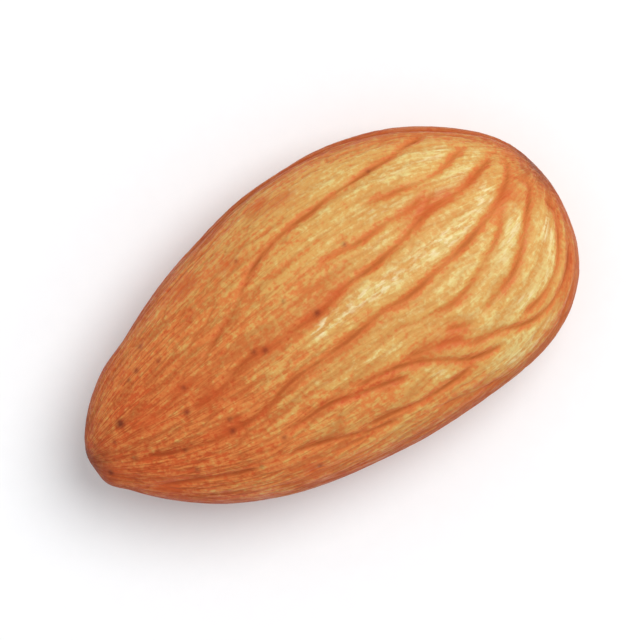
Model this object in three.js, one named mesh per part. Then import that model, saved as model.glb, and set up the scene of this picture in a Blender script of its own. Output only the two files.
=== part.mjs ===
// An almond kernel in its brown skin: one solid, lying on one of its two broad faces.
// Millimetres, +Z up. X runs along the kernel from its tip (-X) to its broad end (+X).
// The origin is at the middle of the bounding box, at the height of the surface the kernel rests on.
//
// Places on the kernel are given by two numbers:
//   along  0 at the tip, 1 at the broad end
//   turn   degrees round the long axis: 0 at the +Y margin, 90 on top, 180 at the -Y margin, 270 underneath

import * as THREE from "three";
import { mergeVertices } from "three/addons/utils/BufferGeometryUtils.js";

// Driving dimensions.
const LENGTH = 24.0; // tip to broad end
const WIDTH = 13.5; // across the broad faces, margin to margin
const THICKNESS = 8.2; // between the broad faces, before the resting spot is flattened
const REST_FLAT_DEPTH = 0.15; // height lost where the underside is flattened by what it rests on

// The seen outline and the side outline each rise from the tip as along^tip and fall as (1 - along)^broad.
const OUTLINE = { tip: 0.6, broad: 0.42 };
const SIDE = { tip: 0.6, broad: 0.42 };
const MARGIN_SHARPNESS = 1.02; // 1 is an elliptical section; more draws the two margins to an edge
const TOP_SHARE = 0.52; // share of the thickness that lies above the margins

// The middle line of the outline starts to one side at the tip and is bent twice between two alongs.
// The shifts are shares of the length.
const TIP_OFFSET = -0.032;
const BELLY_BEND = { shift: 0.044, from: 0.12, to: 0.68 };
const END_BEND = { shift: -0.011, from: 0.72, to: 0.9 };
const TIP_LIFT = { height: 0.25, to: 0.35 }; // over the middle plane, and the along where it is gone

// The mesh.
const SEGMENTS_AROUND = 104;
const SEGMENTS_ALONG = 44;
const SPACING_SAMPLES = 2000; // steps used to space the rings evenly over the surface
const SPACING_TURN = 45; // the line over the surface on which they are even

// Furrows of the skin. Each is a line of [along, turn] points.
const FURROW_DEPTH = 0.16;
const FURROW_HALF_WIDTH = 0.3;
const FURROW_SAMPLES = 60;
const FURROW_END_BLUNTNESS = 0.5; // under 1, a furrow keeps its depth until near its two ends
const TOP_FURROWS = [
  [[0.2, 48], [0.41, 49.5], [0.585, 47.5], [0.7, 42], [0.8, 31], [0.88, 23]],
  [[0.15, 80], [0.22, 77], [0.3, 70], [0.36, 61], [0.41, 51]],
  [[0.526, 67], [0.6, 69], [0.67, 67], [0.73, 63], [0.79, 58], [0.84, 50], [0.9, 33], [0.93, 27]],
  [[0.1, 78], [0.2, 81], [0.3, 85], [0.43, 84.5], [0.57, 81.5], [0.7, 76], [0.8, 66], [0.92, 39]],
  [[0.1, 110], [0.29, 108], [0.43, 98.5], [0.63, 97.5], [0.76, 91], [0.83, 84.5], [0.9, 75], [0.955, 48]],
  [[0.62, 101], [0.7, 109], [0.8, 102], [0.86, 94], [0.9, 86], [0.93, 77], [0.95, 67]],
  [[0.76, 119], [0.8, 116.5], [0.85, 111], [0.9, 106], [0.92, 97], [0.94, 86], [0.96, 73]],
  [[0.33, 113], [0.45, 118], [0.6, 119], [0.7, 118], [0.76, 116.5]],
  [[0.45, 120], [0.6, 123], [0.67, 124], [0.7, 129.5], [0.73, 133], [0.86, 137], [0.93, 135], [0.97, 125]],
  [[0.14, 133.5], [0.27, 133.5], [0.375, 134.5], [0.5, 138], [0.57, 140], [0.63, 140], [0.7, 138]],
  [[0.3, 150.5], [0.36, 149.5], [0.4, 144], [0.47, 142.5]],
  [[0.52, 152], [0.6, 150.5], [0.67, 154], [0.73, 156], [0.8, 156], [0.88, 152]],
];

// Furrows of the margins and the underside, which run the length of the kernel with an uneven sway.
const UNDER_COUNT = 15;
const UNDER_TURN = { first: 196, last: 372, sway: 5 };
const UNDER_START = { least: 0.06, spread: 0.3 }; // along, where a furrow starts
const UNDER_END = { most: 0.96, spread: 0.2 }; // along, where it ends
const UNDER_BENDS = [0, 0.25, 0.5, 0.75, 1]; // shares of its length where it may sway

// Marks left by growth.
const HILUM = { along: 0.15, turn: -4, length: 1.8, width: 0.5, depth: 0.18 }; // where the stalk joined
const CHALAZA = { along: 0.985, turn: 30, length: 1.2, width: 1.2, depth: 0.15 }; // hub of the furrows

// Furrows and marks are pressed in towards a point on the long axis, less along it than across.
const PRESS_CENTRE = 0.55; // share of the length
const PRESS_LENGTHWISE = 0.25;
const REST_CLEARANCE = { none: 0.1, full: 0.6 }; // heights over the resting spot where they fade in

const { clamp, degToRad, mapLinear, radToDeg, smoothstep } = THREE.MathUtils;

// A curve over 0..1 that rises as s^a, falls as (1 - s)^b and peaks at 1.
function hump(s, a, b) {
  const peak = a / (a + b);
  return (s / peak) ** a * ((1 - s) / (1 - peak)) ** b;
}

function bendAt(bend, along) {
  return bend.shift * smoothstep(along, bend.from, bend.to);
}

// The smooth form, without furrows, at an along and a turn in degrees.
function formPoint(along, turn) {
  const angle = degToRad(turn);
  const middleY = LENGTH * (TIP_OFFSET + bendAt(BELLY_BEND, along) + bendAt(END_BEND, along));
  const middleZ = TIP_LIFT.height * (1 - smoothstep(along, 0, TIP_LIFT.to));
  const halfWidth = (WIDTH / 2) * hump(along, OUTLINE.tip, OUTLINE.broad);
  const side = Math.sin(angle);
  const thickness = THICKNESS * (side > 0 ? TOP_SHARE : 1 - TOP_SHARE);
  const rise = Math.sign(side) * Math.abs(side) ** MARGIN_SHARPNESS;
  return new THREE.Vector3(
    LENGTH * along,
    middleY + halfWidth * Math.cos(angle),
    middleZ + thickness * hump(along, SIDE.tip, SIDE.broad) * rise,
  );
}

// A table of along against the share of the way over the surface, so that rings can be evenly spaced.
function evenSpacing() {
  const table = [{ share: 0, along: 0 }];
  let walked = 0;
  let last = formPoint(0, SPACING_TURN);
  for (let i = 1; i <= SPACING_SAMPLES; i++) {
    const along = (1 - Math.cos((Math.PI * i) / SPACING_SAMPLES)) / 2;
    const here = formPoint(along, SPACING_TURN);
    walked += here.distanceTo(last);
    table.push({ share: walked, along });
    last = here;
  }
  return table.map(({ share, along }) => ({ share: share / walked, along }));
}

function alongAtShare(table, share) {
  const after = table.findIndex((row) => row.share >= share);
  if (after <= 0) return table[0].along;
  const [a, b] = [table[after - 1], table[after]];
  return mapLinear(share, a.share, b.share, a.along, b.along);
}

// A repeatable number from 0 to 1 for a furrow and a purpose.
function chance(furrow, purpose) {
  const value = Math.sin(furrow * 12.9898 + purpose * 78.233) * 43758.5453;
  return value - Math.floor(value);
}

function underFurrows() {
  return Array.from({ length: UNDER_COUNT }, (_, k) => {
    const start = UNDER_START.least + UNDER_START.spread * chance(k, 1);
    const end = UNDER_END.most - UNDER_END.spread * chance(k, 2);
    const turn = mapLinear(k, 0, UNDER_COUNT - 1, UNDER_TURN.first, UNDER_TURN.last);
    return UNDER_BENDS.map((t, i) => {
      const sway = UNDER_TURN.sway * (2 * chance(k, 3 + i) - 1);
      return [start + (end - start) * t, turn + sway];
    });
  });
}

// Points along a furrow's line on the smooth form, each with the share of the full depth there.
function furrowSamples(points) {
  const line = new THREE.SplineCurve(points.map(([along, turn]) => new THREE.Vector2(along, turn)));
  return Array.from({ length: FURROW_SAMPLES }, (_, i) => {
    const t = i / (FURROW_SAMPLES - 1);
    const { x: along, y: turn } = line.getPoint(t);
    return { place: formPoint(along, turn), share: Math.sin(Math.PI * t) ** FURROW_END_BLUNTNESS };
  });
}

function furrowDepthAt(point, furrows) {
  let deepest = 0;
  for (const samples of furrows) {
    for (const { place, share } of samples) {
      const far = point.distanceTo(place) / FURROW_HALF_WIDTH;
      deepest = Math.max(deepest, FURROW_DEPTH * share * Math.exp(-far * far));
    }
  }
  return deepest;
}

// A shallow oval dent, longer along X than across.
function dentDepthAt(point, dent) {
  const gap = point.clone().sub(formPoint(dent.along, dent.turn));
  const far = Math.hypot(gap.x / dent.length, gap.y / dent.width, gap.z / dent.width);
  return dent.depth * Math.exp(-far * far);
}

// 0 over the resting spot and 1 well away from it, so that the spot stays flat.
function clearOfRest(point, restHeight) {
  return smoothstep(point.z - restHeight, REST_CLEARANCE.none, REST_CLEARANCE.full);
}

function kernelGeometry() {
  const spacing = evenSpacing();
  const furrows = [...TOP_FURROWS, ...underFurrows()].map(furrowSamples);
  const restHeight = THICKNESS * (TOP_SHARE - 1) + REST_FLAT_DEPTH;

  // A unit sphere whose poles become the tip and the broad end.
  const sphere = new THREE.SphereGeometry(1, SEGMENTS_AROUND, SEGMENTS_ALONG);
  sphere.deleteAttribute("normal");
  sphere.deleteAttribute("uv");
  const geometry = mergeVertices(sphere, 1e-6);
  const position = geometry.getAttribute("position");
  const point = new THREE.Vector3();
  for (let i = 0; i < position.count; i++) {
    point.fromBufferAttribute(position, i);
    const share = 1 - Math.acos(clamp(point.y, -1, 1)) / Math.PI;
    const turn = radToDeg(Math.atan2(point.x, point.z));
    point.copy(formPoint(alongAtShare(spacing, share), turn));
    const depth =
      furrowDepthAt(point, furrows) + dentDepthAt(point, HILUM) + dentDepthAt(point, CHALAZA);
    const inward = new THREE.Vector3(LENGTH * PRESS_CENTRE, 0, 0).sub(point);
    inward.x *= PRESS_LENGTHWISE;
    point.addScaledVector(inward.normalize(), depth * clearOfRest(point, restHeight));
    point.z = Math.max(point.z, restHeight);
    position.setXYZ(i, point.x, point.y, point.z);
  }
  geometry.computeBoundingBox();
  const centre = geometry.boundingBox.getCenter(new THREE.Vector3());
  geometry.translate(-centre.x, -centre.y, -geometry.boundingBox.min.z);
  return geometry;
}

const skin = new THREE.MeshStandardMaterial({ color: 0xd58c51, roughness: 0.6, metalness: 0 });

const kernel = new THREE.Mesh(kernelGeometry(), skin);
kernel.name = "almond_kernel";

const almond = new THREE.Group();
almond.add(kernel);

export default almond;
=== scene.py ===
"""A shelled almond in its brown skin, with a pale studio to show it in.

The kernel is one piece that lies on one of its two broad faces. Its long axis is X, from the tip (-X)
to the broad end (+X), and it rests on Z = 0. Lengths in the functions below are millimetres.

A place on the kernel is given by two numbers:
    along  0 at the tip, 1 at the broad end
    turn   degrees round the long axis: 0 at the +Y margin, 90 on top, 180 at the -Y margin, 270 beneath
"""

import math

import bpy
import numpy as np
from bpy.props import FloatProperty, FloatVectorProperty, IntProperty, PointerProperty
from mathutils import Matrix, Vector, noise


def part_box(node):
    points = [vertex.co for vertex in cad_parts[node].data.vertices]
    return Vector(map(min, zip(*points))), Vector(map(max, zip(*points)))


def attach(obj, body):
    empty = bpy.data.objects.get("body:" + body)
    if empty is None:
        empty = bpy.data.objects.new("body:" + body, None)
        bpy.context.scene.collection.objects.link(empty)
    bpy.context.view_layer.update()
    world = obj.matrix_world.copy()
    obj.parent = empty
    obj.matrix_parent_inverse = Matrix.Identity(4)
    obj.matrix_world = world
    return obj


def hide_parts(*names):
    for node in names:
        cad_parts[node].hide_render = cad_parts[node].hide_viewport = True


bl_info = {
    "name": "Almond",
    "version": (1, 0, 0),
    "blender": (4, 5, 0),
    "location": "View3D > Sidebar > Almond",
    "description": "Builds a shelled almond in its brown skin, and a pale studio to show it in",
    "category": "Object",
}

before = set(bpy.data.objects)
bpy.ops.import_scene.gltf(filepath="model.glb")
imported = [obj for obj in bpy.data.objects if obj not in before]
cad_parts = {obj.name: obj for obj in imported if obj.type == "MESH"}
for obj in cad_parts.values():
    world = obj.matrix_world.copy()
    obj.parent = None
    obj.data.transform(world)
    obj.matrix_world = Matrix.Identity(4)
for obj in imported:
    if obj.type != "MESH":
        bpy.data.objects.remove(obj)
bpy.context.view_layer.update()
KERNEL_LOW, KERNEL_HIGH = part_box("almond_kernel")
KERNEL_SIZE = KERNEL_HIGH - KERNEL_LOW

MM = 0.001  # one millimetre in metres

# The furrows of the top face, each with its strength and the places that its line passes through.
TOP_FURROWS = (
    # The long furrows of the +Y half and the middle, which run towards the hub.
    (1.0, ((0.4, 59), (0.44, 53), (0.5, 51), (0.6, 48), (0.65, 46), (0.7, 43), (0.74, 42), (0.78, 34),
           (0.83, 25))),
    (0.7, ((0.25, 77), (0.32, 70), (0.38, 63), (0.42, 56), (0.47, 52))),
    (0.8, ((0.64, 58), (0.7, 58), (0.76, 58), (0.8, 55), (0.83, 51), (0.86, 43), (0.89, 34))),
    (0.8, ((0.53, 68), (0.56, 70), (0.6, 71), (0.66, 70), (0.73, 68), (0.76, 65), (0.78, 60))),
    (0.9, ((0.79, 59), (0.78, 64), (0.76, 70), (0.73, 75))),
    (1.0, ((0.2, 92), (0.27, 92), (0.3, 89), (0.34, 86), (0.4, 87), (0.5, 87), (0.55, 84), (0.64, 81),
           (0.69, 79), (0.76, 71), (0.82, 67), (0.87, 59), (0.9, 51), (0.925, 41))),
    (1.0, ((0.08, 108), (0.15, 112), (0.27, 111), (0.34, 109), (0.38, 105), (0.43, 102), (0.5, 102),
           (0.6, 99), (0.66, 98), (0.74, 94), (0.79, 90), (0.83, 86), (0.88, 77), (0.91, 69),
           (0.93, 60), (0.94, 43))),
    # The furrows round the broad end.
    (0.8, ((0.9, 75), (0.875, 86), (0.85, 93), (0.82, 98), (0.8, 102), (0.77, 106), (0.73, 110),
           (0.7, 110), (0.67, 107))),
    (1.0, ((0.945, 59), (0.96, 66), (0.945, 79), (0.92, 90), (0.905, 98), (0.875, 106), (0.84, 112),
           (0.8, 116), (0.76, 119))),
    (0.6, ((0.925, 62), (0.945, 60), (0.95, 71))),
    (0.9, ((0.97, 77), (0.98, 95), (0.965, 113), (0.945, 124), (0.92, 129), (0.87, 132), (0.82, 132))),
    (1.0, ((0.98, 126), (0.965, 136), (0.935, 141), (0.88, 140), (0.84, 138), (0.8, 133), (0.76, 131),
           (0.71, 128))),
    (0.6, ((0.98, 154), (0.93, 156), (0.88, 163))),
    # The furrows of the -Y half.
    (1.0, ((0.34, 125), (0.36, 121), (0.44, 120), (0.5, 122), (0.56, 125), (0.61, 126))),
    (1.0, ((0.49, 117), (0.52, 120), (0.57, 120), (0.6, 121), (0.64, 125), (0.67, 128), (0.7, 133),
           (0.73, 138), (0.8, 140))),
    (0.9, ((0.59, 119), (0.64, 120), (0.7, 123), (0.735, 127))),
    (0.8, ((0.68, 119), (0.7, 117), (0.73, 120), (0.76, 122))),
    (1.0, ((0.47, 138), (0.54, 139), (0.57, 141), (0.66, 142), (0.69, 141), (0.73, 137))),
    (1.0, ((0.32, 136), (0.35, 133), (0.4, 135), (0.44, 138), (0.48, 142), (0.56, 144))),
    (0.8, ((0.4, 143), (0.5, 145))),
    (0.7, ((0.61, 151), (0.65, 153), (0.7, 156), (0.765, 164))),
    (1.0, ((0.29, 135), (0.2, 135), (0.17, 134), (0.13, 138), (0.08, 144))),
    # Short lines, of the tip first and the broad end last.
    (0.7, ((0.11, 83), (0.16, 84), (0.22, 81), (0.26, 83), (0.3, 82))),
    (0.8, ((0.16, 25), (0.17, 35), (0.19, 41))),
    (0.8, ((0.21, 107), (0.25, 106), (0.3, 106))),
    (0.6, ((0.29, 132), (0.24, 128))),
    (0.6, ((0.3, 162), (0.26, 162))),
    (0.6, ((0.24, 51), (0.31, 52))),
    (0.7, ((0.34, 150), (0.39, 149))),
    (0.6, ((0.35, 54), (0.39, 56))),
    (0.7, ((0.38, 45), (0.415, 48))),
    (0.7, ((0.37, 117), (0.43, 116))),
    (0.5, ((0.37, 69), (0.41, 65), (0.45, 62))),
    (0.6, ((0.455, 75), (0.5, 76), (0.555, 79))),
    (0.5, ((0.51, 67), (0.54, 72), (0.57, 75))),
    (0.5, ((0.54, 96), (0.61, 95))),
    (0.5, ((0.57, 65), (0.63, 67))),
    (0.4, ((0.62, 87), (0.68, 88), (0.77, 84))),
    (0.6, ((0.63, 57), (0.66, 55))),
    (0.6, ((0.7, 68), (0.75, 69))),
    (0.6, ((0.855, 83), (0.89, 77))),
    (0.4, ((0.88, 119), (0.895, 115), (0.91, 112))),
    (0.6, ((0.9, 75), (0.94, 76))),
)

# The crests of the palest pads, laid down in the same way. Their colour is lifted partly as paler skin and
# partly as painted sheen, and they carry the painted glints.
PALE_AND_SHEEN_CRESTS = (
    (1.0, ((0.46, 94), (0.5, 91), (0.55, 92), (0.61, 90), (0.68, 88), (0.77, 85), (0.81, 82), (0.87, 73),
           (0.9, 62))),
    (0.8, ((0.93, 81), (0.91, 87), (0.88, 92), (0.86, 99), (0.82, 107))),
    (0.8, ((0.955, 85), (0.945, 105), (0.93, 119), (0.89, 127), (0.81, 126))),
    (0.7, ((0.92, 147), (0.83, 151), (0.74, 152))),
    (0.7, ((0.69, 52), (0.76, 47), (0.82, 44), (0.86, 34))),
    (0.6, ((0.63, 62), (0.7, 64), (0.76, 61))),
    (0.5, ((0.6, 76), (0.66, 75), (0.71, 72))),
    (0.7, ((0.8, 62), (0.84, 57), (0.88, 48), (0.91, 36))),
    (0.6, ((0.68, 102), (0.73, 101), (0.79, 98))),
    (0.5, ((0.43, 110), (0.5, 111), (0.56, 112), (0.62, 113))),
    (0.6, ((0.62, 130), (0.69, 134))),
)

# Dark specks: along, turn and width in millimetres.
SPECKS = (
    (0.085, 75, 0.4), (0.06, 86, 0.24), (0.08, 108, 0.26), (0.03, 96, 0.22), (0.03, 126, 0.36),
    (0.155, 52, 0.26), (0.135, 53, 0.22), (0.18, 40, 0.24), (0.2, 59, 0.22), (0.175, 126, 0.24),
    (0.205, 92, 0.3), (0.265, 111, 0.28), (0.17, 112, 0.22), (0.22, 80, 0.24), (0.285, 134, 0.2),
    (0.6, 69, 0.22), (0.41, 47, 0.2), (0.7, 43, 0.2), (0.455, 75, 0.2), (0.5, 86, 0.3),
    (0.385, 87, 0.28), (0.365, 85, 0.24), (0.345, 124, 0.24), (0.27, 105, 0.22), (0.38, 148, 0.24),
)

# Reddened patches: along, turn and length in millimetres. They are half as wide as they are long.
BLUSHES = (
    (0.76, 69, 1.1), (0.69, 121, 1.1), (0.22, 80, 0.9), (0.13, 84, 0.9), (0.035, 126, 0.9),
    (0.11, 140, 1.2), (0.26, 92, 0.9), (0.5, 86, 0.8), (0.385, 86, 0.9), (0.26, 109, 1.0),
    (0.37, 149, 1.0), (0.49, 28, 0.8), (0.53, 35, 0.9), (0.3, 35, 0.9), (0.39, 45, 0.7),
    (0.55, 84, 0.7), (0.91, 74, 0.9), (0.8, 66, 0.9), (0.86, 61, 0.8),
)

# Stretches of the kernel, from one along to another.
BELLY_BEND = (0.12, 0.68)
END_BEND = (0.72, 0.9)
TIP_LIFT = (0.0, 0.35)

# The furrows of the margins and the underside run the length of the kernel, swaying unevenly.
UNDER_FIRST_TURN = 196
UNDER_LAST_TURN = 372
UNDER_FURROWS = 15
UNDER_SWAY = 5  # degrees
UNDER_START = {"least": 0.06, "spread": 0.3}  # along, where a furrow starts
UNDER_END = {"most": 0.96, "spread": 0.2}  # along, where it turns to the meeting
UNDER_BENDS = 4  # parts of its length between places where it may sway
UNDER_STRENGTH = {"least": 0.6, "spread": 0.4}
UNDER_MEETING = 0.98  # along, where they all draw together

# Furrows and crests as lines.
PLACE_STRETCH = (24.0, 0.1)  # millimetres for one unit of along, and for one degree of turn
LINE_STEP = 0.15  # millimetres between the points laid along a line
LINE_SMOOTHING = 4  # points on either side that a line's corners are rounded over
LINE_REACH = 1.2  # millimetres from a line beyond which it makes no mark
LINE_SWAY = 0.5  # degrees
LINE_FADE = (-0.2, 0.9)  # millimetres from an end, between which a line gains its strength
LINE_UNEVENNESS = 0.14  # share by which a line's strength rises and falls
SWAY_WAVES = ((1.7, 2.4), (0.6, 1.0))  # radians a millimetre, and the start for each line's number
STRENGTH_WAVE = (1.9, 5.1)  # the same
FURROW_SQUARENESS = 2.5  # 2 is a rounded groove, more has a flatter floor and steeper sides
FAINT_WIDTH = 0.6  # share of the full width that the faintest furrow has
PAD_LOSS = 0.9  # share of the pad that is lost on a furrow's line
CREST_REACH = 0.5  # millimetres from the middle of a crest to its slope
CREST_PAD = (0.3, 0.9)  # the pad's share between which a crest shows

# The mesh.
SMOOTHEST_TURN = 45  # the turn along whose line the rows are spaced evenly
MAP_MARGIN = 0.01  # left free on each side of each face's patch of the map
LANE_STRETCH = (6.0, 6.0, 3.4)  # round the kernel, round it, and along it

# Veins are where fine noise is near 0.
WRINKLE_SWAY = 0.35  # how far the lanes are led astray
VEIN_NARROWNESS = 4.2
VEIN_CRISPNESS = 1.5  # more leaves a sharper middle

# Single marks. Sizes are half widths in millimetres along X, Y and Z.
HUB_SIZE = (1.2, 1.2, 1.2)
HUB_HALO_SIZE = (2.4, 2.4, 2.4)
HUB_DEPTH = 0.15
HILUM = {"along": 0.15, "turn": -4, "size": (1.8, 0.5, 0.5)}  # where the stalk joined
HILUM_DEPTH = 0.18
TIP_CORNER = {"along": 0.02, "turn": 172, "size": (0.8, 0.7, 0.9)}
TIP_CORNER_HEIGHT = 0.24
TIP_MARK_LENGTH = 0.8
SPECK_DARKNESS = 2.6  # for each millimetre of a speck's width, up to 1
CALMING = 0.75  # share of the fine relief that the tip and the hub lose

# Bloom is the skin's paleness, from 0 to 1. On the steep margins it is lowered by the slope, partly as
# painted shade and partly as the margins' darker skin.
TIP_BLOOM = 0.12
BLOOM_GAIN = 0.76  # from the tip to the broad end
BLOOM_STRETCH = (-0.1, 0.9)  # the alongs between which it is gained
SIDE_BLOOM = 0.09  # gained on the +Y side, and lost on the -Y side
SIDE_BLOOM_FADE = (0.6, 0.9)  # the alongs between which the two sides become alike
MARGIN_SHADE_BLOOM_LOSS = 0.6
HUB_BLOOM_LOSS = 0.4
TOP_MARGIN_START = 0.7  # slope, as the horizontal part of the normal, where the margin and its painted shade start
END_MARGIN_WIDENING = 0.1  # taken off that start towards the broad end
END_MARGIN_STRETCH = (0.45, 0.7)
UNDER_MARGIN_START = 0.35

# The skin's tone goes from 0 to 1, through these colours.
TONE_STOPS = {"rust": 0.05, "tan": 0.35, "gold": 0.62, "straw": 0.9}
TONE_SWING = {"fibre": 0.06, "fleck": 0.1, "cloud": 0.08, "scurf": 0.15}  # either way, by each pattern
TONE_BASE = 0.1
TONE_OF_BLOOM = 0.7
# The crests' lift is partly paler skin and partly painted sheen.
TONE_OF_CREST_AND_SHEEN = 0.2
TONE_OF_STREAK = 0.1
NOISE_MIDDLE = 0.5
NOISE_RANGE = (0.3, 0.7)  # noise is seldom outside it
THREAD_WIDTH = 0.05  # how far from its middle value the noise still makes a thread
FLECK_RAGGEDNESS = 0.2  # how far the flecks break up a furrow's edge
SCURF_RAGGEDNESS = 0.12
CORE_SHADE = 0.3  # share of the line colour in the depth of a furrow
MARGIN_SHADE = 0.5  # share of the line colour at the very margins: painted shade on the steepest sides, partly their darker skin
GLINT_SHADE = 0.6  # share of the glint colour in the brightest flecks on the crests, a painted highlight
SMOOTHEST_SKIN = 0.36  # roughness
ROUGHEST_SKIN = 0.54
LINE_ROUGHNESS = 0.3  # added in the furrows
BUMP_HEIGHT = 0.06 * MM
BUMP_OF_SCURF = 0.6
BUMP_OF_FLECK = 0.9
PAPER_SHADE = 0.97  # brightness of the paper's darker fibres
REST_DEPTH = 0.15 * MM
CLIP_RATIO = 20  # how many times nearer and farther than the kernel the camera still sees

# Ranges of a mark or a pattern, and what they become where that isn't 0 to 1.
OPEN_PADS = (0.3, 0.8, 0.45, 1.0)
MOTTLE_BY_BLOOM = (0.15, 0.75, 1.5, 1.0)
FURROW_EDGE = (0.3, 0.95)
FURROW_CORE = (0.7, 1.0, 0.0, CORE_SHADE)
VEIN_BY_BLOOM = (0.1, 0.8, 0.95, 0.5)
THREAD_BY_BLOOM = (0.1, 0.75, 1.0, 0.3)
CREASE_BY_BLOOM = (0.15, 0.85)
LINE_BREAKS = (0.35, 0.65, 0.75, 0.95)
BLUSH_PATCHES = (0.35, 0.6, 0.2, 0.8)
SCAR_PATCHES = (0.35, 0.65, 0.1, 0.7)
GLINT_CRESTS = (0.35, 0.9)
GLINT_FLECKS = (0.5, 0.64)

# The marks that the relief finds at each vertex and the skin's material reads.
SKIN_MARKS = ("furrow", "pad", "crest", "vein", "streak", "hub", "hilum", "tip", "speck",
              "blush", "margin", "bloom")


def smoothstep(x, low, high):
    """0 below low, 1 above high, and a smooth rise between them."""
    t = np.clip((x - low) / (high - low), 0, 1)
    return t * t * (3 - 2 * t)


def hump(s, rise, fall):
    """A curve over 0..1 that starts as s^rise, ends as (1 - s)^fall and peaks at 1."""
    peak = rise / (rise + fall)
    return (s / peak) ** rise * ((1 - s) / (1 - peak)) ** fall


def form_points(form, along, turn):
    """Points of the smooth form, before its origin is moved, at arrays of along and turn."""
    angle = np.radians(turn)
    length = form.length / MM
    middle = form.tip_offset + form.belly_shift * smoothstep(along, *BELLY_BEND)
    middle = middle + form.end_shift * smoothstep(along, *END_BEND)
    half_width = form.width / MM / 2 * hump(along, form.outline_tip, form.outline_end)
    side = np.sin(angle)
    share = np.where(side > 0, form.top_share, 1 - form.top_share)
    rise = np.sign(side) * np.abs(side) ** form.margin_sharpness
    height = form.thickness / MM * share * hump(along, form.side_tip, form.side_end) * rise
    lift = form.tip_lift / MM * (1 - smoothstep(along, *TIP_LIFT))
    return np.stack(
        [length * along, length * middle + half_width * np.cos(angle), lift + height], axis=-1
    )


def even_spacing(form, steps=2000):
    """Matching arrays of a share of the way over the surface and of along."""
    along = (1 - np.cos(np.linspace(0, np.pi, steps + 1))) / 2
    line = form_points(form, along, np.full_like(along, SMOOTHEST_TURN))
    walked = np.concatenate([[0], np.cumsum(np.linalg.norm(np.diff(line, axis=0), axis=1))])
    return walked / walked[-1], along


def cube_sphere(rows):
    """A sphere made from the six faces of a cube: its directions, quads and each corner's map place."""
    lattice, quads, places = [], [], []
    steps = np.arange(rows + 1)
    across, up = np.meshgrid(steps, steps, indexing="ij")
    cell = (steps[:-1, None] * (rows + 1) + steps[None, :-1]).ravel()
    map_part = 1 - 2 * MAP_MARGIN
    for face in range(6):
        axis, far = face % 3, face // 3
        corner = np.zeros((rows + 1, rows + 1, 3), int)
        corner[..., axis] = rows * far
        corner[..., (axis + 1) % 3] = across
        corner[..., (axis + 2) % 3] = up
        start = face * (rows + 1) ** 2
        around = [cell, cell + rows + 1, cell + rows + 2, cell + 1]
        if not far:
            around.reverse()
        quads.append(start + np.stack(around, axis=1))
        lattice.append(corner.reshape(-1, 3))
        map_across = (axis + MAP_MARGIN + map_part * across / rows) / 3
        map_up = (far + MAP_MARGIN + map_part * up / rows) / 2
        places.append(np.stack([map_across, map_up], axis=-1).reshape(-1, 2))
    quads = np.concatenate(quads)
    places = np.concatenate(places)[quads]
    lattice, merged = np.unique(np.concatenate(lattice), axis=0, return_inverse=True)
    directions = np.tan((lattice / rows - 0.5) * np.pi / 2)
    directions /= np.linalg.norm(directions, axis=1, keepdims=True)
    return directions, merged.reshape(-1)[quads], places


class Surface:
    """The kernel's smooth surface: a place, a normal and flow lines for each vertex."""

    def __init__(self, form):
        self.form = form
        self.directions, self.quads, self.map_places = cube_sphere(form.rows)
        self.spacing = even_spacing(form)
        x, y, z = self.directions.T
        share = np.arccos(np.clip(-x, -1, 1)) / np.pi
        self.along = np.interp(share, *self.spacing)
        self.turn = np.degrees(np.arctan2(z, y)) % 360
        self.points = form_points(form, self.along, self.turn)
        self.normals = self.find_normals()
        self.flow = self.find_flow()

    def find_normals(self):
        a, b, c, d = (self.points[self.quads[:, i]] for i in range(4))
        across = np.cross(c - a, d - b)
        normals = np.zeros_like(self.points)
        for corner in range(4):
            np.add.at(normals, self.quads[:, corner], across)
        return normals / np.linalg.norm(normals, axis=1, keepdims=True)

    def find_flow(self):
        """The lane round the kernel, as a unit vector, and the travel from the tip to the hub.

        Lanes are the lines that leave the tip and meet again at the hub near the broad end. Seen from
        the tip, the sphere flattens to a plane where they are straight rays from the hub.
        """
        x, y, z = self.directions.T
        plane = (y + 1j * z) / np.maximum(1 + x, 1e-6)
        hub_share = np.interp(self.form.hub_along, self.spacing[1], self.spacing[0])
        hub = math.tan(math.pi * (1 - hub_share) / 2) * np.exp(1j * math.radians(self.form.hub_turn))
        ray = plane - hub
        far = np.maximum(np.abs(ray), 1e-6)
        travel = 1 - 2 * np.arctan(far) / np.pi
        return np.stack([ray.real / far, ray.imag / far, travel], axis=1)


def repeatable(line, purpose):
    """A repeatable number from 0 to 1 for a furrow and a purpose."""
    value = math.sin(line * 12.9898 + purpose * 78.233) * 43758.5453
    return value - math.floor(value)


def under_furrows():
    """The furrows of the margins and the underside, each with its strength and places."""
    step = (UNDER_LAST_TURN - UNDER_FIRST_TURN) / (UNDER_FURROWS - 1)
    lines = []
    for k in range(UNDER_FURROWS):
        start = UNDER_START["least"] + UNDER_START["spread"] * repeatable(k, 1)
        end = UNDER_END["most"] - UNDER_END["spread"] * repeatable(k, 2)
        middle = UNDER_FIRST_TURN + step * k
        places = []
        for i in range(UNDER_BENDS + 1):
            sway = UNDER_SWAY * (2 * repeatable(k, 3 + i) - 1)
            places.append((start + (end - start) * i / UNDER_BENDS, middle + sway))
        places.append((UNDER_MEETING, places[-1][1]))
        strength = UNDER_STRENGTH["least"] + UNDER_STRENGTH["spread"] * repeatable(k, 9)
        lines.append((strength, places))
    return lines


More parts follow.
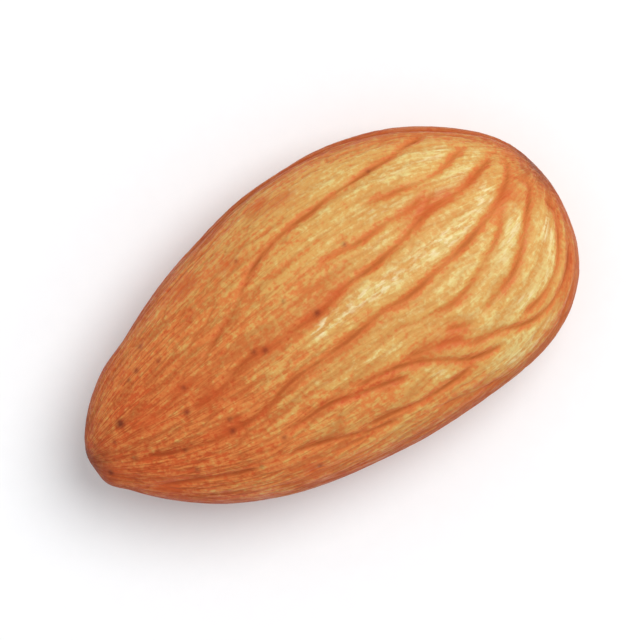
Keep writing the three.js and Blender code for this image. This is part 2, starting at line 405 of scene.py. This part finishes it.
def smooth_line(places):
    """Places a short step apart on a smooth curve near the given ones, and the way walked to each."""
    corners = np.array(places, float)
    steps = np.linalg.norm(np.diff(corners, axis=0) * PLACE_STRETCH, axis=1)
    walked = np.concatenate([[0], np.cumsum(steps)])
    way = np.linspace(0, walked[-1], int(walked[-1] / LINE_STEP) + 2 + LINE_SMOOTHING)
    line = np.stack([np.interp(way, walked, values) for values in corners.T], axis=1)
    line = np.pad(line, ((LINE_SMOOTHING, LINE_SMOOTHING), (0, 0)), mode="reflect", reflect_type="odd")
    window = np.full(2 * LINE_SMOOTHING + 1, 1 / (2 * LINE_SMOOTHING + 1))
    line = np.stack([np.convolve(values, window, "valid") for values in line.T], axis=1)
    return line, way


def wave(way, number, rate, start):
    """A sine along a line, which begins elsewhere in its swing for each line's number."""
    return np.sin(way * rate + number * start)


def noise_at(points, scale, octaves=1):
    """Smooth noise from about -1 to 1 at points, with features about 1 / scale apart."""
    if octaves == 1:
        values = [noise.noise(p) for p in (points * scale).tolist()]
    else:
        values = [noise.fractal(p, 1.0, 2.0, octaves) for p in (points * scale).tolist()]
    return np.array(values)


class Relief:
    """What stands off the smooth surface, in millimetres, and the marks that colour follows."""

    def __init__(self, surface, skin):
        self.surface = surface
        self.skin = skin
        self.lanes = surface.flow * np.array(LANE_STRETCH)
        self.find_furrows()
        self.find_crests()
        self.find_wrinkles()
        self.find_scars()
        self.find_bloom()

    def find_furrows(self):
        """How near each vertex is to a furrow (1 on its line), and its pad (1 in the open)."""
        width = self.skin.furrow_width / MM / 2
        reach = self.skin.pad_reach / MM
        self.furrow = np.zeros(len(self.surface.points))
        self.pad = np.ones(len(self.surface.points))
        for number, (strength, places) in enumerate((*TOP_FURROWS, *under_furrows())):
            close, gap, share = self.along_line(strength, places, number)
            width_here = width * (FAINT_WIDTH + (1 - FAINT_WIDTH) * share)
            here = share * np.exp(-((gap / width_here) ** FURROW_SQUARENESS))
            self.furrow[close] = np.maximum(self.furrow[close], here)
            self.pad[close] *= 1 - PAD_LOSS * share * np.exp(-((gap / reach) ** 2))

    def find_crests(self):
        """How near each vertex is to the crest of a pale pad, where the colour also carries painted sheen and
        painted glints.
        """
        self.crest = np.zeros(len(self.surface.points))
        for number, (strength, places) in enumerate(PALE_AND_SHEEN_CRESTS):
            close, gap, share = self.along_line(strength, places, number)
            here = share * np.exp(-((gap / CREST_REACH) ** 2))
            self.crest[close] = np.maximum(self.crest[close], here)
        self.crest *= smoothstep(self.pad, *CREST_PAD)

    def along_line(self, strength, places, number):
        """The vertices close to a line over the surface, their distances from it and its strength there."""
        line, way = smooth_line(places)
        short_wave, long_wave = (wave(way, number, *rates) for rates in SWAY_WAVES)
        line[:, 1] += LINE_SWAY * short_wave * long_wave
        at = form_points(self.surface.form, line[:, 0], line[:, 1])
        fade = smoothstep(np.minimum(way, way[-1] - way), *LINE_FADE)
        uneven = 1 - LINE_UNEVENNESS + LINE_UNEVENNESS * wave(way, number, *STRENGTH_WAVE)

        points = self.surface.points
        inside = (points > at.min(0) - LINE_REACH) & (points < at.max(0) + LINE_REACH)
        close = inside.all(1).nonzero()[0]
        points = points[close]
        square = (points**2).sum(1)[:, None] - 2 * points @ at.T + (at**2).sum(1)
        nearest = square.argmin(1)
        ahead = np.gradient(at, axis=0)
        step = np.linalg.norm(ahead, axis=1)
        ahead = (ahead / step[:, None])[nearest]
        away = points - at[nearest]
        slide = np.clip((away * ahead).sum(1), -step[nearest] / 2, step[nearest] / 2)
        gap = np.linalg.norm(away - slide[:, None] * ahead, axis=1)
        return close, gap, strength * (fade * uneven)[nearest]

    def find_wrinkles(self):
        """Fine lines that follow the lanes, the kernel's own unevenness, and its dry scurf.

        The numbers added to places only take each pattern from its own part of the noise.
        """
        lanes, points = self.lanes, self.surface.points
        sway = WRINKLE_SWAY * noise_at(points, scale=0.35, octaves=2)[:, None]
        fine = noise_at(lanes * (1, 1, 0.55) + sway, scale=1.25, octaves=3)
        self.vein = np.clip(1 - np.abs(fine) * VEIN_NARROWNESS, 0, 1) ** VEIN_CRISPNESS
        self.streak = noise_at(lanes * (1, 1, 0.3) + sway + 11.0, scale=2.6, octaves=2)
        self.swell = noise_at(points + 31.0, scale=0.16, octaves=2)
        self.grain = noise_at(points + 57.0, scale=3.4, octaves=3)

    def find_scars(self):
        """Single marks: the hub of the furrows, the stalk's scar, the tip, the specks and blushes."""
        form, points = self.surface.form, self.surface.points
        self.hub = self.near(form.hub_along, form.hub_turn, HUB_SIZE)
        self.hilum = self.near(**HILUM)
        self.tip = np.exp(-((points[:, 0] / TIP_MARK_LENGTH) ** 2))
        self.speck = np.zeros(len(points))
        for along, turn, width in SPECKS:
            dark = min(1, SPECK_DARKNESS * width)
            self.speck = np.maximum(self.speck, dark * self.near(along, turn, width / 2))
        self.blush = np.zeros(len(points))
        for along, turn, length in BLUSHES:
            size = (length, length / 2, length / 2)
            self.blush = np.maximum(self.blush, self.near(along, turn, size))

    def find_bloom(self):
        """Where the skin is palest: on top and underneath, away from the margins, tip and hub. The margins
        follow the slope of the normal, so their loss is partly painted shade.
        """
        form, surface = self.surface.form, self.surface
        steep = np.sqrt(1 - np.clip(surface.normals[:, 2] ** 2, 0, 1))
        widening = END_MARGIN_WIDENING * smoothstep(surface.along, *END_MARGIN_STRETCH)
        start = np.where(surface.normals[:, 2] > 0, TOP_MARGIN_START - widening, UNDER_MARGIN_START)
        self.margin = smoothstep(steep, start, 1.0)
        halo = self.near(form.hub_along, form.hub_turn, HUB_HALO_SIZE)
        self.bloom = TIP_BLOOM + BLOOM_GAIN * smoothstep(surface.along, *BLOOM_STRETCH)
        upper_side = np.cos(np.radians(surface.turn)) * (1 - smoothstep(surface.along, *SIDE_BLOOM_FADE))
        self.bloom = self.bloom + SIDE_BLOOM * upper_side
        self.bloom = self.bloom * (1 - MARGIN_SHADE_BLOOM_LOSS * self.margin)
        self.bloom = self.bloom * (1 - HUB_BLOOM_LOSS * halo)

    def near(self, along, turn, size):
        """1 at a place, falling to nothing over about twice a size in millimetres."""
        centre = form_points(self.surface.form, np.array([along]), np.array([turn]))
        gap = (self.surface.points - centre) / size
        return np.exp(-(gap**2).sum(1))

    def height(self):
        """How far each vertex stands off the smooth surface."""
        skin = self.skin
        calm = 1 - CALMING * np.clip(self.tip + self.hub, 0, 1)
        up = skin.pad_height / MM * (self.pad - self.pad.mean())
        up -= skin.furrow_depth / MM * self.furrow
        up -= skin.vein_depth / MM * self.vein * calm
        up += skin.streak_height / MM * self.streak * calm
        up += skin.swell_height / MM * self.swell
        up += skin.grain_height / MM * self.grain
        up -= HUB_DEPTH * self.hub + HILUM_DEPTH * self.hilum
        up += TIP_CORNER_HEIGHT * self.near(**TIP_CORNER)
        return up


def add_point_attribute(mesh, name, values, kind="FLOAT"):
    field = "value" if kind == "FLOAT" else "vector"
    attribute = mesh.attributes.new(name, kind, "POINT")
    attribute.data.foreach_set(field, np.ascontiguousarray(values, np.float32).ravel())


def kernel_mesh(form, skin):
    """The kernel's finished mesh, in metres, with the attributes that its material reads."""
    surface = Surface(form)
    relief = Relief(surface, skin)
    points = surface.points + surface.normals * relief.height()[:, None]
    rest = form.thickness / MM * (form.top_share - 1) + form.rest_depth / MM
    points[:, 2] = np.maximum(points[:, 2], rest)
    low, high = points.min(0), points.max(0)
    points -= [(low[0] + high[0]) / 2, (low[1] + high[1]) / 2, low[2]]
    points *= MM

    mesh = bpy.data.meshes.new("almond_kernel_skin")
    mesh.from_pydata(points, [], surface.quads)
    mesh.polygons.foreach_set("use_smooth", np.ones(len(surface.quads), bool))
    skin_map = mesh.uv_layers.new(name="OFBake")
    skin_map.uv.foreach_set("vector", surface.map_places.astype(np.float32).ravel())
    add_point_attribute(mesh, "lanes", relief.lanes, "FLOAT_VECTOR")
    for name in SKIN_MARKS:
        add_point_attribute(mesh, name, getattr(relief, name))
    if mesh.validate():
        raise ValueError("the kernel's mesh has broken faces")
    mesh.update()
    return mesh


class Nodes:
    """A material's node tree, with short calls for the kinds of node used here."""

    def __init__(self, material):
        material.use_nodes = True
        self.tree = material.node_tree
        self.tree.nodes.clear()

    def add(self, kind, inputs=(), **settings):
        node = self.tree.nodes.new("ShaderNode" + kind)
        for name, value in settings.items():
            setattr(node, name, value)
        for name, value in dict(inputs).items():
            if isinstance(value, bpy.types.NodeSocket):
                self.tree.links.new(value, node.inputs[name])
            else:
                node.inputs[name].default_value = value
        return node

    def attribute(self, name):
        return self.add("Attribute", attribute_name=name).outputs["Fac"]

    def vector(self, name):
        return self.add("Attribute", attribute_name=name).outputs["Vector"]

    def maths(self, operation, a, b=0.0):
        return self.add("Math", {0: a, 1: b}, operation=operation).outputs[0]

    def total(self, first, *others):
        for value in others:
            first = self.maths("ADD", first, value)
        return first

    def product(self, first, *others):
        for value in others:
            first = self.maths("MULTIPLY", first, value)
        return first

    def remap(self, value, low, high, to_low=0.0, to_high=1.0):
        sockets = {0: value, 1: low, 2: high, 3: to_low, 4: to_high}
        return self.add("MapRange", sockets, clamp=True).outputs[0]

    def noise(self, where, scale, detail=2.0, roughness=0.5):
        sockets = {"Vector": where, "Scale": scale, "Detail": detail, "Roughness": roughness}
        return self.add("TexNoise", sockets).outputs["Fac"]

    def mix(self, share, a, b):
        """Colour a, with a share of colour b over it."""
        return self.add("Mix", {0: share, 6: a, 7: b}, data_type="RGBA").outputs[2]

    def ramp(self, value, stops):
        node = self.add("ValToRGB", {"Fac": value})
        node.color_ramp.interpolation = "EASE"
        for _ in stops[2:]:
            node.color_ramp.elements.new(0.5)
        for element, (position, colour) in zip(node.color_ramp.elements, stops):
            element.position = position
            element.color = colour
        return node.outputs["Color"]


def rgba(colour):
    return (*colour, 1.0)


class SkinNodes(Nodes):
    """The skin's node tree: its patterns, and the layers of colour that follow them."""

    def __init__(self, material, tones):
        super().__init__(material)
        self.tones = tones
        self.bloom = self.attribute("bloom")
        self.place = self.add("TexCoord").outputs["Object"]
        self.lanes = self.vector("lanes")
        short_lanes = self.add("Mapping", {"Vector": self.lanes, "Scale": (1.0, 1.0, 3.0)})
        self.fleck = self.noise(short_lanes.outputs["Vector"], scale=5.0, detail=3.0, roughness=0.55)
        self.fibre = self.noise(self.lanes, scale=5.5, detail=4.0, roughness=0.6)
        self.cloud = self.noise(self.place, scale=260.0, detail=3.0)
        self.scurf = self.noise(self.place, scale=4200.0, detail=3.0, roughness=0.6)

    def tone(self, name):
        return rgba(getattr(self.tones, name))

    def swing(self, pattern, size):
        """A noise pattern as a number between -size and size."""
        return self.remap(pattern, *NOISE_RANGE, -size, size)

    def base_colour(self):
        """Light on the open pads and towards the broad end, and mottled, most so near the tip. The crests are
        lighter still, partly paler skin and partly painted sheen.
        """
        open_skin = self.remap(self.attribute("pad"), *OPEN_PADS)
        mottle = self.total(*(self.swing(getattr(self, name), size) for name, size in TONE_SWING.items()))
        tone = self.total(
            self.product(open_skin, self.bloom, TONE_OF_BLOOM),
            self.product(self.attribute("crest"), TONE_OF_CREST_AND_SHEEN),
            self.product(self.attribute("streak"), TONE_OF_STREAK),
            self.product(mottle, self.remap(self.bloom, *MOTTLE_BY_BLOOM)),
            TONE_BASE,
        )
        return self.ramp(tone, [(stop, self.tone(name)) for name, stop in TONE_STOPS.items()])

    def find_lines(self):
        """How clearly a line shows, from 0 to 1: a ragged furrow, a fine vein or a finer thread."""
        ragged = self.total(
            self.attribute("furrow"),
            self.swing(self.fleck, FLECK_RAGGEDNESS),
            self.swing(self.scurf, SCURF_RAGGEDNESS),
        )
        furrow = self.remap(ragged, *FURROW_EDGE)
        vein = self.product(self.attribute("vein"), self.remap(self.bloom, *VEIN_BY_BLOOM))
        wave = self.noise(self.lanes, scale=2.6, detail=3.0)
        off_middle = self.maths("ABSOLUTE", self.maths("SUBTRACT", wave, NOISE_MIDDLE))
        thread = self.remap(off_middle, 0.0, THREAD_WIDTH, 1.0, 0.0)
        thread = self.product(thread, self.remap(self.bloom, *THREAD_BY_BLOOM))
        return self.maths("MAXIMUM", self.maths("MAXIMUM", furrow, vein), thread)

    def draw_lines(self, colour, line):
        """The lines are dark on dark skin, lighter on pale skin, and a little broken."""
        shade = self.mix(self.remap(self.bloom, *CREASE_BY_BLOOM), self.tone("line"), self.tone("crease"))
        broken = self.remap(self.fleck, *LINE_BREAKS)
        colour = self.mix(self.product(line, broken), colour, shade)
        core = self.remap(self.attribute("furrow"), *FURROW_CORE)
        return self.mix(core, colour, self.tone("line"))

    def draw_blushes(self, colour):
        patchy = self.remap(self.fibre, *BLUSH_PATCHES)
        return self.mix(self.product(self.attribute("blush"), patchy), colour, self.tone("rust"))

    def draw_painted_glints(self, colour):
        """Painted highlights: the brightest flecks on the crests are nearly white."""
        on_crest = self.remap(self.attribute("crest"), *GLINT_CRESTS)
        # dry is the share of the painted highlight: glints of light on the crests, put into the colour
        dry = self.product(self.remap(self.fleck, *GLINT_FLECKS), on_crest, GLINT_SHADE)
        return self.mix(dry, colour, self.tone("glint"))

    def draw_margin_shade(self, colour):
        # Painted shade: the steeper the side, the nearer its colour comes to the line colour, partly the
        # margins' own darker skin.
        margin = self.attribute("margin")
        return self.mix(self.product(margin, margin, margin, MARGIN_SHADE), colour, self.tone("line"))

    def draw_scars(self, colour):
        """The hub, the stalk's scar and the tip are patchy, and the specks are not."""
        marks = self.total(self.attribute("hub"), self.attribute("hilum"), self.attribute("tip"))
        marks = self.remap(marks, 0.0, 1.0)
        patchy = self.remap(self.noise(self.place, scale=900.0, detail=3.0), *SCAR_PATCHES)
        scar = self.maths("MAXIMUM", self.product(marks, patchy), self.attribute("speck"))
        return self.mix(scar, colour, self.tone("scar"))

    def roughness(self, line):
        """The open skin has a dry gloss, and the lines are dull."""
        patches = self.noise(self.place, scale=1500.0)
        open_skin = self.remap(patches, *NOISE_RANGE, SMOOTHEST_SKIN, ROUGHEST_SKIN)
        return self.total(open_skin, self.product(line, LINE_ROUGHNESS))

    def fine_bump(self):
        scurf = self.product(self.scurf, BUMP_OF_SCURF)
        height = self.total(scurf, self.product(self.fleck, BUMP_OF_FLECK))
        return self.add("Bump", {"Height": height, "Strength": 1.0, "Distance": BUMP_HEIGHT})


def skin_material(tones):
    material = bpy.data.materials.new("almond_skin")
    nodes = SkinNodes(material, tones)
    line = nodes.find_lines()
    colour = nodes.draw_lines(nodes.base_colour(), line)
    colour = nodes.draw_painted_glints(nodes.draw_blushes(colour))
    colour = nodes.draw_scars(nodes.draw_margin_shade(colour))
    shader = nodes.add("BsdfPrincipled", {
        "Base Color": colour,
        "Roughness": nodes.roughness(line),
        "Normal": nodes.fine_bump().outputs["Normal"],
        "Specular IOR Level": tones.gloss,
    })
    nodes.add("OutputMaterial", {"Surface": shader.outputs["BSDF"]})
    return material


def paper_material(studio):
    material = bpy.data.materials.new("studio_paper")
    nodes = Nodes(material)
    place = nodes.add("TexCoord").outputs["Object"]
    fibre = nodes.noise(place, scale=1200.0, detail=3.0)
    shade = [PAPER_SHADE * part for part in studio.floor_colour]
    colour = nodes.mix(fibre, rgba(studio.floor_colour), rgba(shade))
    bump = nodes.add("Bump", {"Height": fibre, "Strength": 0.1, "Distance": 0.02 * MM})
    shader = nodes.add("BsdfPrincipled", {
        "Base Color": colour,
        "Roughness": 0.9,
        "Specular IOR Level": 0.2,
        "Normal": bump.outputs["Normal"],
    })
    nodes.add("OutputMaterial", {"Surface": shader.outputs["BSDF"]})
    return material


def add_object(name, data):
    made = bpy.data.objects.new(name, data)
    bpy.context.scene.collection.objects.link(made)
    return made


def add_floor(studio):
    half = studio.floor_size / 2
    corners = [(-half, -half, 0), (half, -half, 0), (half, half, 0), (-half, half, 0)]
    mesh = bpy.data.meshes.new("studio_floor")
    mesh.from_pydata(corners, [], [(0, 1, 2, 3)])
    mesh.materials.append(paper_material(studio))
    floor = add_object("studio_floor", mesh)


def add_sky(studio):
    world = bpy.data.worlds.new("studio_sky")
    world.use_nodes = True
    background = world.node_tree.nodes["Background"]
    background.inputs["Color"].default_value = rgba(studio.sky_colour)
    background.inputs["Strength"].default_value = studio.sky_strength
    bpy.context.scene.world = world


def add_key_lamp(studio):
    """A round soft lamp that faces the kernel."""
    heading = math.radians(90 - studio.camera_roll - studio.key_bearing)
    up = math.radians(studio.key_height)
    towards = Vector((math.cos(heading) * math.cos(up), math.sin(heading) * math.cos(up), math.sin(up)))
    light = bpy.data.lights.new("key_lamp", "AREA")
    light.shape = "DISK"
    light.energy = studio.key_power
    light.size = studio.key_size
    lamp = add_object("key_lamp", light)
    lamp.location = towards * studio.key_distance
    lamp.rotation_mode = "QUATERNION"
    lamp.rotation_quaternion = towards.to_track_quat("Z", "Y")


def add_camera(studio):
    """A camera that looks straight down, rolled so that the tip points to the lower left."""
    data = bpy.data.cameras.new("camera")
    data.sensor_width = 36.0
    data.lens = studio.lens / MM
    distance = studio.view_width * data.lens / data.sensor_width
    data.clip_start = distance / CLIP_RATIO
    data.clip_end = distance * CLIP_RATIO
    camera = add_object("camera", data)
    camera.location = (studio.view_middle[0], studio.view_middle[1], distance + KERNEL_SIZE.z / 2)
    camera.rotation_euler = (0, 0, -math.radians(studio.camera_roll))
    bpy.context.scene.camera = camera


class KernelForm(bpy.types.PropertyGroup):
    """The sizes of the kernel's smooth form. The defaults follow the frame."""

    length: FloatProperty(
        name="Length", description="From the tip to the broad end", default=KERNEL_SIZE.x, unit="LENGTH")
    width: FloatProperty(
        name="Width", description="From margin to margin, over the broad faces", default=KERNEL_SIZE.y,
        unit="LENGTH")
    thickness: FloatProperty(
        name="Thickness", description="Between the broad faces, before the resting spot is flattened",
        default=KERNEL_SIZE.z + REST_DEPTH, unit="LENGTH")
    rest_depth: FloatProperty(
        name="Rest Depth", description="Height lost where the underside is flattened", default=REST_DEPTH,
        unit="LENGTH")
    outline_tip: FloatProperty(
        name="Outline at Tip", description="Power by which the outline opens at the tip", default=0.6)
    outline_end: FloatProperty(
        name="Outline at End", description="Power by which the outline closes at the broad end", default=0.42)
    side_tip: FloatProperty(
        name="Side at Tip", description="Power by which the side view opens at the tip", default=0.6)
    side_end: FloatProperty(
        name="Side at End", description="Power by which the side view closes at the broad end", default=0.42)
    margin_sharpness: FloatProperty(
        name="Margin Sharpness", description="1 is a round margin, more is a sharper one", default=1.02)
    top_share: FloatProperty(
        name="Top Share", description="Share of the thickness above the margins", default=0.52)
    tip_offset: FloatProperty(
        name="Tip Offset", description="How far the tip is to the side, as a share of the length",
        default=-0.032)
    belly_shift: FloatProperty(
        name="Belly Shift", description="How far the belly is bent to the side, as a share of the length",
        default=0.044)
    end_shift: FloatProperty(
        name="End Shift", description="How far the broad end is bent back, as a share of the length",
        default=-0.011)
    tip_lift: FloatProperty(
        name="Tip Lift", description="The tip's height over the middle plane", default=0.25 * MM,
        unit="LENGTH")
    hub_along: FloatProperty(
        name="Hub Along", description="Where the furrows meet near the broad end, from 0 to 1", default=0.985)
    hub_turn: FloatProperty(
        name="Hub Turn", description="Degrees round the long axis where the furrows meet", default=30.0)
    rows: IntProperty(
        name="Rows", description="Rows of faces on each of the six sides of the mesh", default=127)


class SkinRelief(bpy.types.PropertyGroup):
    """The heights and widths of what stands off the kernel's smooth form."""

    furrow_depth: FloatProperty(
        name="Furrow Depth", description="Depth of a furrow's groove", default=0.07 * MM, unit="LENGTH")
    furrow_width: FloatProperty(
        name="Furrow Width", description="Width of a furrow's groove", default=0.29 * MM, unit="LENGTH")
    pad_height: FloatProperty(
        name="Pad Height", description="Height of the open skin over the furrows", default=0.08 * MM,
        unit="LENGTH")
    pad_reach: FloatProperty(
        name="Pad Reach", description="How far from a furrow its pad keeps rising", default=0.3 * MM,
        unit="LENGTH")
    vein_depth: FloatProperty(
        name="Vein Depth", description="Depth of the fine lines between furrows", default=0.035 * MM,
        unit="LENGTH")
    streak_height: FloatProperty(
        name="Streak Height", description="Height of the finest lengthwise ribs", default=0.015 * MM,
        unit="LENGTH")
    swell_height: FloatProperty(
        name="Swell Height", description="Height of the kernel's broad unevenness", default=0.12 * MM,
        unit="LENGTH")
    grain_height: FloatProperty(
        name="Grain Height", description="Height of the dry scurf", default=0.006 * MM, unit="LENGTH")


class SkinTones(bpy.types.PropertyGroup):
    """The colours of the skin, and its gloss."""

    rust: FloatVectorProperty(
        name="Rust", description="Reddest open skin", subtype="COLOR", default=(0.55, 0.09, 0.017))
    tan: FloatVectorProperty(
        name="Tan", description="Common skin", subtype="COLOR", default=(0.64, 0.187, 0.043))
    gold: FloatVectorProperty(
        name="Gold", description="Light skin on the pads", subtype="COLOR", default=(0.64, 0.335, 0.088))
    straw: FloatVectorProperty(
        name="Straw", description="Palest skin near the broad end", subtype="COLOR",
        default=(0.7, 0.535, 0.195))
    # Painted highlight: the colour of the glints on the crests
    glint: FloatVectorProperty(
        name="Glint", description="Driest flecks on the crests", subtype="COLOR", default=(0.86, 0.74, 0.45))
    # The line colour also gives the painted shade of the margins.
    line: FloatVectorProperty(
        name="Line", description="Furrows and veins", subtype="COLOR", default=(0.33, 0.047, 0.007))
    crease: FloatVectorProperty(
        name="Crease", description="Furrows of the palest skin", subtype="COLOR",
        default=(0.49, 0.145, 0.026))
    scar: FloatVectorProperty(
        name="Scar", description="Hub, stalk scar and tip", subtype="COLOR", default=(0.14, 0.018, 0.005))
    gloss: FloatProperty(
        name="Gloss", description="Strength of the shine, where 0.5 is that of varnish", default=0.2)


class Studio(bpy.types.PropertyGroup):
    """The floor, the light and the camera."""

    floor_size: FloatProperty(
        name="Floor Size", description="Width of the paper floor", default=2.4, unit="LENGTH")
    floor_colour: FloatVectorProperty(
        name="Floor Colour", description="Colour of the paper floor", subtype="COLOR",
        default=(0.91, 0.9, 0.9))
    sky_colour: FloatVectorProperty(
        name="Sky Colour", description="Colour of the light from all round", subtype="COLOR",
        default=(0.93, 0.97, 1.0))
    sky_strength: FloatProperty(
        name="Sky Strength", description="Brightness of the light from all round", default=0.65)
    key_power: FloatProperty(
        name="Key Power", description="Power of the main lamp", default=1.15, unit="POWER")
    key_size: FloatProperty(
        name="Key Size", description="Width of the main lamp", default=0.3, unit="LENGTH")
    key_distance: FloatProperty(
        name="Key Distance", description="From the kernel to the main lamp", default=0.4, unit="LENGTH")
    key_bearing: FloatProperty(
        name="Key Bearing", description="Degrees clockwise from the top of the picture", default=52.0)
    key_height: FloatProperty(
        name="Key Height", description="Degrees of the main lamp above the floor", default=62.0)
    camera_roll: FloatProperty(
        name="Camera Roll", description="Degrees by which the long axis rises to the right", default=26.5)
    lens: FloatProperty(
        name="Lens", description="Focal length: long, so that the sides stay parallel", default=250 * MM,
        unit="LENGTH")
    view_width: FloatProperty(
        name="View Width", description="Width of what the camera sees at the kernel", default=28.5 * MM,
        unit="LENGTH")
    view_middle: FloatVectorProperty(
        name="View Middle", description="Where the camera stands over", size=2, default=(0.0, 0.0),
        unit="LENGTH")


class ALMOND_OT_kernel(bpy.types.Operator):
    """Build the kernel with its furrowed skin, in the place of the plain one"""

    bl_idname = "almond.kernel"
    bl_label = "Build Kernel"

    def execute(self, context):
        scene = context.scene
        mesh = kernel_mesh(scene.almond_form, scene.almond_relief)
        mesh.materials.append(skin_material(scene.almond_tones))
        kernel = add_object("kernel_in_skin", mesh)
        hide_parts("almond_kernel")
        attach(kernel, "root")
        return {"FINISHED"}


class ALMOND_OT_stage(bpy.types.Operator):
    """Set out the paper floor, the soft light and the camera"""

    bl_idname = "almond.stage"
    bl_label = "Build Stage"

    def execute(self, context):
        studio = context.scene.almond_studio
        add_floor(studio)
        add_sky(studio)
        add_key_lamp(studio)
        add_camera(studio)
        context.scene.view_settings.view_transform = "Standard"
        return {"FINISHED"}


class ALMOND_PT_panel(bpy.types.Panel):
    """The builders, and the sizes and colours that they use."""

    bl_idname = "ALMOND_PT_panel"
    bl_label = "Almond"
    bl_space_type = "VIEW_3D"
    bl_region_type = "UI"
    bl_category = "Almond"

    def draw(self, context):
        for operator in OPERATORS:
            self.layout.operator(operator.bl_idname)
        for name, group in SETTINGS.items():
            box = self.layout.box()
            box.label(text=group.__doc__)
            for setting in group.__annotations__:
                box.prop(getattr(context.scene, name), setting)


SETTINGS = {
    "almond_form": KernelForm,
    "almond_relief": SkinRelief,
    "almond_tones": SkinTones,
    "almond_studio": Studio,
}
OPERATORS = (ALMOND_OT_kernel, ALMOND_OT_stage)
CLASSES = (*SETTINGS.values(), *OPERATORS, ALMOND_PT_panel)


def register():
    for made in CLASSES:
        bpy.utils.register_class(made)
    for name, group in SETTINGS.items():
        setattr(bpy.types.Scene, name, PointerProperty(type=group))


def unregister():
    for name in SETTINGS:
        delattr(bpy.types.Scene, name)
    for made in reversed(CLASSES):
        bpy.utils.unregister_class(made)


def main():
    register()
    bpy.ops.almond.kernel()
    bpy.ops.almond.stage()


if __name__ == "__main__":
    main()
